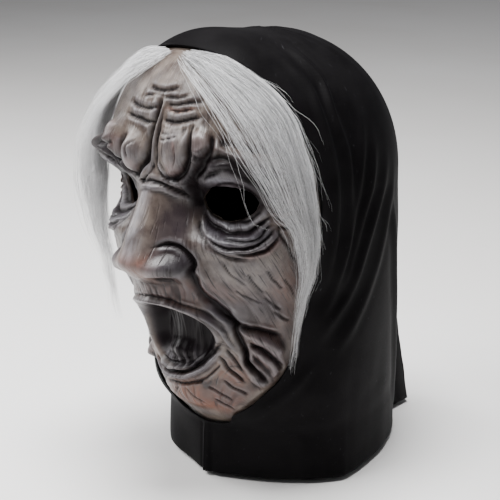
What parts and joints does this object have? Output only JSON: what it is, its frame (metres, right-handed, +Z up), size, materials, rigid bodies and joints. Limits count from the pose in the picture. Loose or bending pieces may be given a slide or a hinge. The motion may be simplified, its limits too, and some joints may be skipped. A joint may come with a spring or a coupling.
{
  "type": "witch mask with hood and hair",
  "caption": "Full-face latex hag mask with a gaping mouth, sewn stretch-cloth hood and long parted white hair.",
  "frame": {"origin": "the place inside the crown where the hood sits on a head, on the mid-plane", "axes": "+Z up out of the crown, -Y the way the face looks, +X towards the wearer's left"},
  "size_m": [0.1985, 0.2888, 0.3183],
  "materials": {
    "latex": "satin, painted in greys with dark folds",
    "cloth": "black stretch knit",
    "hair": "long white and grey synthetic fibre"
  },
  "bodies": {
    "root": {"face_shell": "latex", "hood": "cloth", "hair_left": "hair", "hair_right": "hair"}
  },
  "joints": []
}
